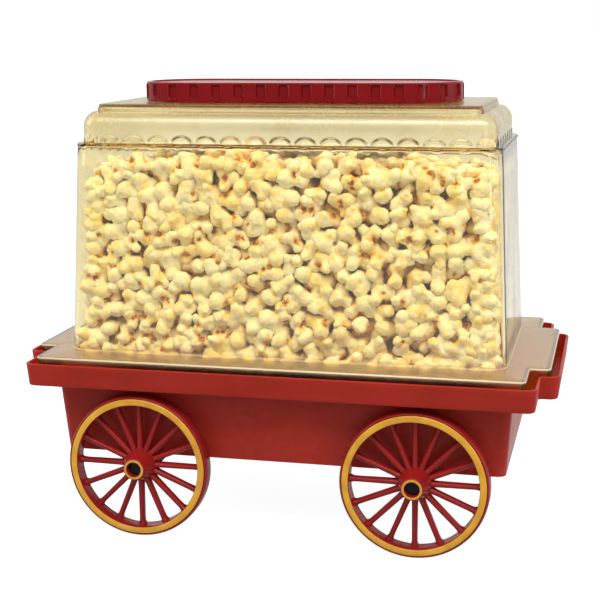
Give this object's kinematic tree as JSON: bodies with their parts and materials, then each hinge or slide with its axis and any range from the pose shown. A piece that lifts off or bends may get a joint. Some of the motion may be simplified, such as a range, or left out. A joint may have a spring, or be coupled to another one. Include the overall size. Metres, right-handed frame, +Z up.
{
  "type": "popcorn cart",
  "caption": "Tabletop stirring popcorn maker shaped as a four-wheeled cart, with a clear amber cover, a red vent cap, a red tray and spoked wheels with gold rings.",
  "frame": {"origin": "on the floor, under the middle of the cart", "axes": "+X along the cart, -Y towards the front, +Z up"},
  "size_m": [0.408, 0.2266, 0.3365],
  "materials": {
    "red_plastic": "satin moulded",
    "deep_red_plastic": "glossy moulded",
    "wheel_red": "glossy moulded, with gold painted rings",
    "amber_clear": "clear amber",
    "dark_plastic": "matte",
    "black_plastic": "satin",
    "steel": "bright zinc",
    "nonstick": "non-stick coating on aluminium",
    "aluminium": "plain sheet",
    "silicone": "heat-proof rubber",
    "ceramic": "unglazed",
    "nylon": "natural",
    "bronze": "sintered",
    "copper_coil": "enamelled winding",
    "wire_sleeve": "insulation"
  },
  "bodies": {
    "root": {"tray": "red_plastic", "lower_housing": "red_plastic", "bottom_cover": "dark_plastic", "case_screws": "steel", "axle_left": "steel", "axle_right": "steel", "axle_clips": "steel", "axle_caps": "black_plastic", "heating_pan": "nonstick", "pan_gasket": "silicone", "pan_studs": "steel", "pan_nuts": "steel", "pan_spacers": "ceramic", "heating_element": "steel", "element_clamp": "aluminium", "thermostat": "ceramic", "thermal_fuse": "steel", "heat_shield": "aluminium", "motor_bracket": "steel", "bracket_screws": "steel", "gear_case": "aluminium", "gear_case_cover": "aluminium", "gear_case_screws": "steel", "motor_case": "steel", "motor_coil": "copper_coil", "idler_pin": "steel", "shaft_bush": "bronze", "cord_gland": "black_plastic", "terminal_block": "nylon", "internal_leads": "wire_sleeve"},
    "stirrer": {"drive_shaft": "steel", "output_gear": "nylon", "stirrer_hub": "dark_plastic", "stir_rod": "steel"},
    "idler": {"idler_gear": "nylon"},
    "rotor": {"motor_rotor": "steel"},
    "wheel_fl": {"wheel_front_left": "wheel_red"},
    "wheel_fr": {"wheel_front_right": "wheel_red"},
    "wheel_rl": {"wheel_rear_left": "wheel_red"},
    "wheel_rr": {"wheel_rear_right": "wheel_red"},
    "cover": {"cover": "amber_clear"},
    "cap": {"cap": "deep_red_plastic"}
  },
  "joints": [
    {"name": "stirrer_spin", "type": "hinge", "parent": "root", "child": "stirrer", "pos_m": [0, 0, 0.1], "axis": [0, 0, 1], "continuous": true},
    {"name": "idler_spin", "type": "hinge", "parent": "root", "child": "idler", "pos_m": [0.021, 0, 0.078], "axis": [0, 0, 1], "continuous": true},
    {"name": "rotor_spin", "type": "hinge", "parent": "root", "child": "rotor", "pos_m": [0.042, 0, 0.07], "axis": [0, 0, 1], "continuous": true},
    {"name": "wheel_front_left_roll", "type": "hinge", "parent": "root", "child": "wheel_fl", "pos_m": [-0.1045, -0.1, 0.0545], "axis": [0, 1, 0], "continuous": true},
    {"name": "wheel_front_right_roll", "type": "hinge", "parent": "root", "child": "wheel_fr", "pos_m": [0.1045, -0.1, 0.0545], "axis": [0, 1, 0], "continuous": true},
    {"name": "wheel_rear_left_roll", "type": "hinge", "parent": "root", "child": "wheel_rl", "pos_m": [-0.1045, 0.1, 0.0545], "axis": [0, 1, 0], "continuous": true},
    {"name": "wheel_rear_right_roll", "type": "hinge", "parent": "root", "child": "wheel_rr", "pos_m": [0.1045, 0.1, 0.0545], "axis": [0, 1, 0], "continuous": true},
    {"name": "cover_lift", "type": "slide", "parent": "root", "child": "cover", "axis": [0, 0, 1], "range_m": [0, 0.25]},
    {"name": "cap_pull", "type": "slide", "parent": "cover", "child": "cap", "axis": [0, 0, 1], "range_m": [0, 0.06]}
  ],
  "couplings": [
    {"joint": "idler_spin", "follows": "stirrer_spin", "ratio": -4},
    {"joint": "rotor_spin", "follows": "stirrer_spin", "ratio": 16}
  ]
}
